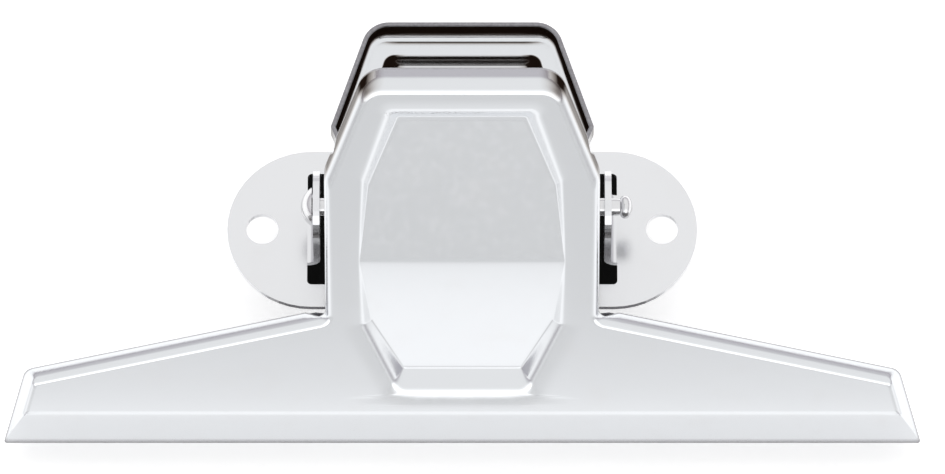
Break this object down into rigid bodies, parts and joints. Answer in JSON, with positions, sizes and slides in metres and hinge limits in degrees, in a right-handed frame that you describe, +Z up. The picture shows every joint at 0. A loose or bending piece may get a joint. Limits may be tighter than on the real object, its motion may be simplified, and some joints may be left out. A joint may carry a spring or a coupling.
{
  "type": "bulldog clip",
  "caption": "Wide sprung letter clip of pressed sheet steel with two squeezed handles and a flat mounting plate whose ears take screws.",
  "frame": {"origin": "middle of the clip's footprint, on the surface that its rear jaw lies on", "axes": "+X along the biting edge, +Y from the lips to the handles, +Z up, out of the rear jaw's flat face"},
  "size_m": [0.1248, 0.0632, 0.0585],
  "materials": {
    "jaw_plating": "bright nickel plating on drawn sheet steel",
    "plate_plating": "bright nickel plating on blanked sheet steel",
    "pin_steel": "nickel plated rivet steel",
    "spring_steel": "drawn spring wire"
  },
  "bodies": {
    "back": {"rear_jaw": "jaw_plating", "mounting_plate": "plate_plating", "pivot_pin": "pin_steel", "torsion_spring": "spring_steel"},
    "front": {"front_jaw": "jaw_plating"}
  },
  "joints": [
    {"name": "jaw_pivot", "type": "hinge", "parent": "back", "child": "front", "pos_m": [0, -0.00323, 0.01937], "axis": [-1, 0, 0], "range_deg": [0, 105], "stiffness_Nm_per_rad": 0.55, "springref_deg": -114.59, "deforming": ["torsion_spring"]}
  ]
}
